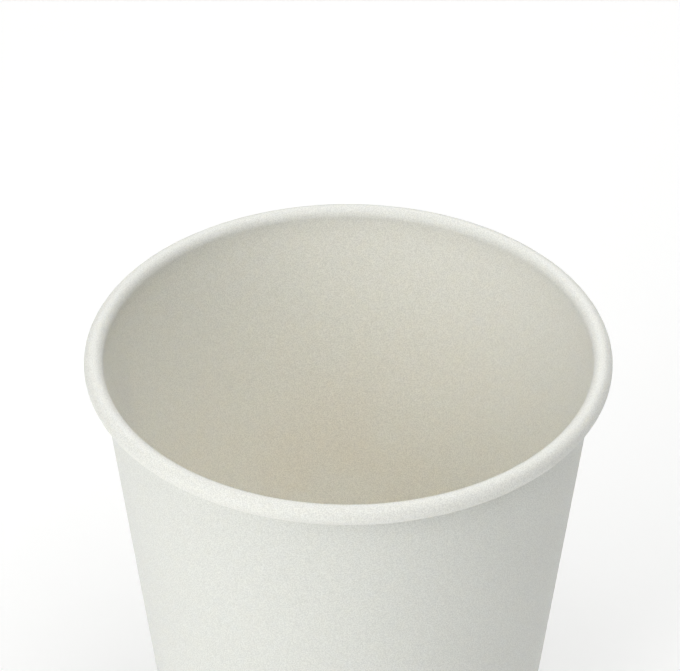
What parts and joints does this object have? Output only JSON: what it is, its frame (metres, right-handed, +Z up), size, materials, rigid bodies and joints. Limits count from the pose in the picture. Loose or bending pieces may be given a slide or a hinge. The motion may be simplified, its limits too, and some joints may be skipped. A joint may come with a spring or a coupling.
{
  "type": "paper coffee cup",
  "caption": "Plain white single-wall paper cup for hot drinks: a tapered wrapped wall with a rolled rim bead and a recessed base disc sealed in a folded hem.",
  "frame": {"origin": "centre of the circle that the cup stands on, in the plane of the foot of the wall", "axes": "+Z up along the cup's axis, out of the open mouth; -X is the side with the lap seam; the cup is round apart from its seam, whose double layer puts the centroid about 0.7 mm off the axis"},
  "size_m": [0.09, 0.09, 0.11],
  "materials": {
    "cup_board": "smooth white cup board, matt outside, satin inside from its thin lining",
    "base_board": "smooth white cup board, satin from its thin lining"
  },
  "bodies": {
    "root": {"sidewall": "cup_board", "base_disc": "base_board"}
  },
  "joints": []
}
